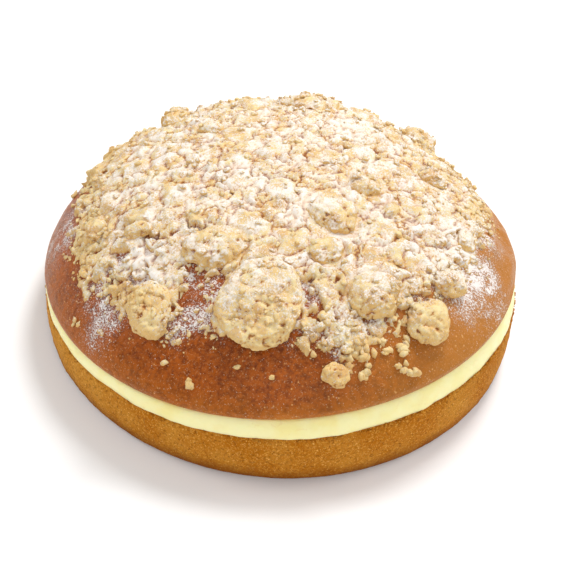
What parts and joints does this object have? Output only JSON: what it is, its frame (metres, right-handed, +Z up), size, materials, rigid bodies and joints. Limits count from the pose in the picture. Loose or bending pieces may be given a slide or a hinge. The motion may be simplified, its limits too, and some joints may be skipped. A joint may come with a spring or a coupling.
{
  "type": "streusel brioche",
  "caption": "Round domed sweet bread, cut across and filled with a level layer of pastry cream, with baked crumb topping in lumps over its upper crust.",
  "frame": {"origin": "under the middle of the foot, on the surface that the bread stands on", "axes": "+Z up, the pictured front towards -Y, +X to the right of it"},
  "size_m": [0.2324, 0.2361, 0.0919],
  "materials": {
    "lower_crust": "golden baked crumb wall, dry and finely pitted",
    "cream": "pale yellow set pastry cream, smooth and slightly moist",
    "upper_crust": "egg-washed red-brown crust, satin, dusted with icing sugar",
    "streusel": "sandy golden butter crumb, rough, dusted with icing sugar"
  },
  "bodies": {
    "root": {"lower_half": "lower_crust", "cream": "cream", "upper_half": "upper_crust", "streusel_cover": "streusel", "lump_front_slab": "streusel", "lump_left_front": "streusel", "lump_right_front": "streusel", "lump_right_edge": "streusel", "lump_middle": "streusel", "lump_middle_low": "streusel", "lump_mound": "streusel", "lump_left_edge": "streusel", "lump_front_nugget": "streusel", "lump_right_drift": "streusel", "lump_right_shoulder": "streusel", "lump_right_back": "streusel", "lump_centre_right": "streusel", "lump_far_right": "streusel", "lump_far_left": "streusel", "lump_left_middle": "streusel", "lump_back_slab": "streusel", "lump_back_left": "streusel", "lump_back_right": "streusel"}
  },
  "joints": []
}
